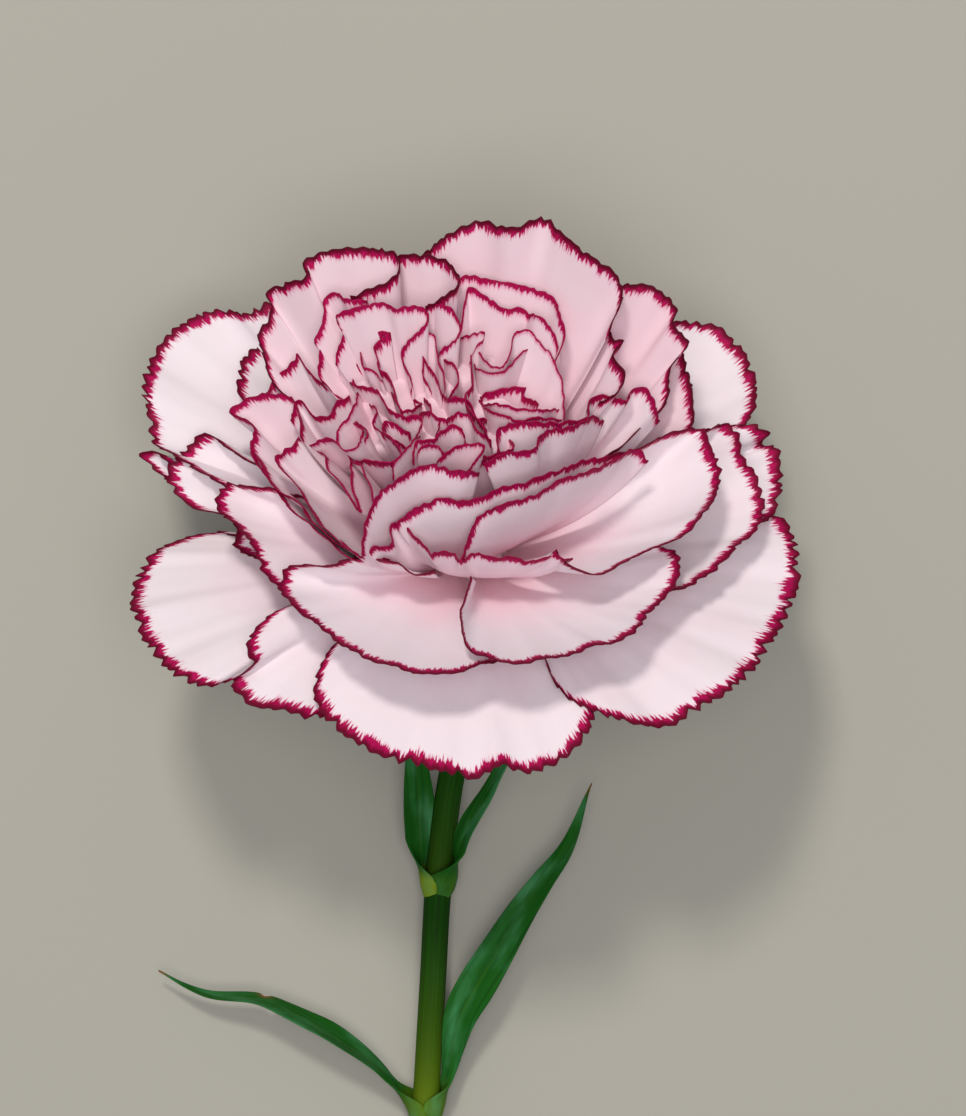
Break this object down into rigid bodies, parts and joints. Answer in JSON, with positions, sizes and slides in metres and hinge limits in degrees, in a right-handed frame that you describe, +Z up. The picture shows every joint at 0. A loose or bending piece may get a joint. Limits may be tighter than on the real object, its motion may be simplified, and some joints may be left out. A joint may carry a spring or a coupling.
{
  "type": "cut carnation",
  "caption": "Cut carnation lying on a surface: frilled double bloom in a toothed calyx on a jointed stem with two pairs of narrow leaves.",
  "frame": {"origin": "on the surface that the flower lies on, below the middle of its box", "axes": "+Z up from the surface, +Y from the cut end of the stem to the bloom, +X across the bloom to the right"},
  "size_m": [0.0838, 0.1472, 0.0551],
  "materials": {
    "petals": "matt, pale pink with crimson toothed edges",
    "calyx": "satin green skin",
    "stem": "satin green skin with a pale bloom",
    "leaves": "satin dark green with a pale bloom"
  },
  "bodies": {
    "root": {"petals": "petals", "calyx": "calyx", "stem": "stem", "leaf_upper_left": "leaves", "leaf_upper_right": "leaves", "leaf_lower_left": "leaves", "leaf_lower_right": "leaves"}
  },
  "joints": []
}
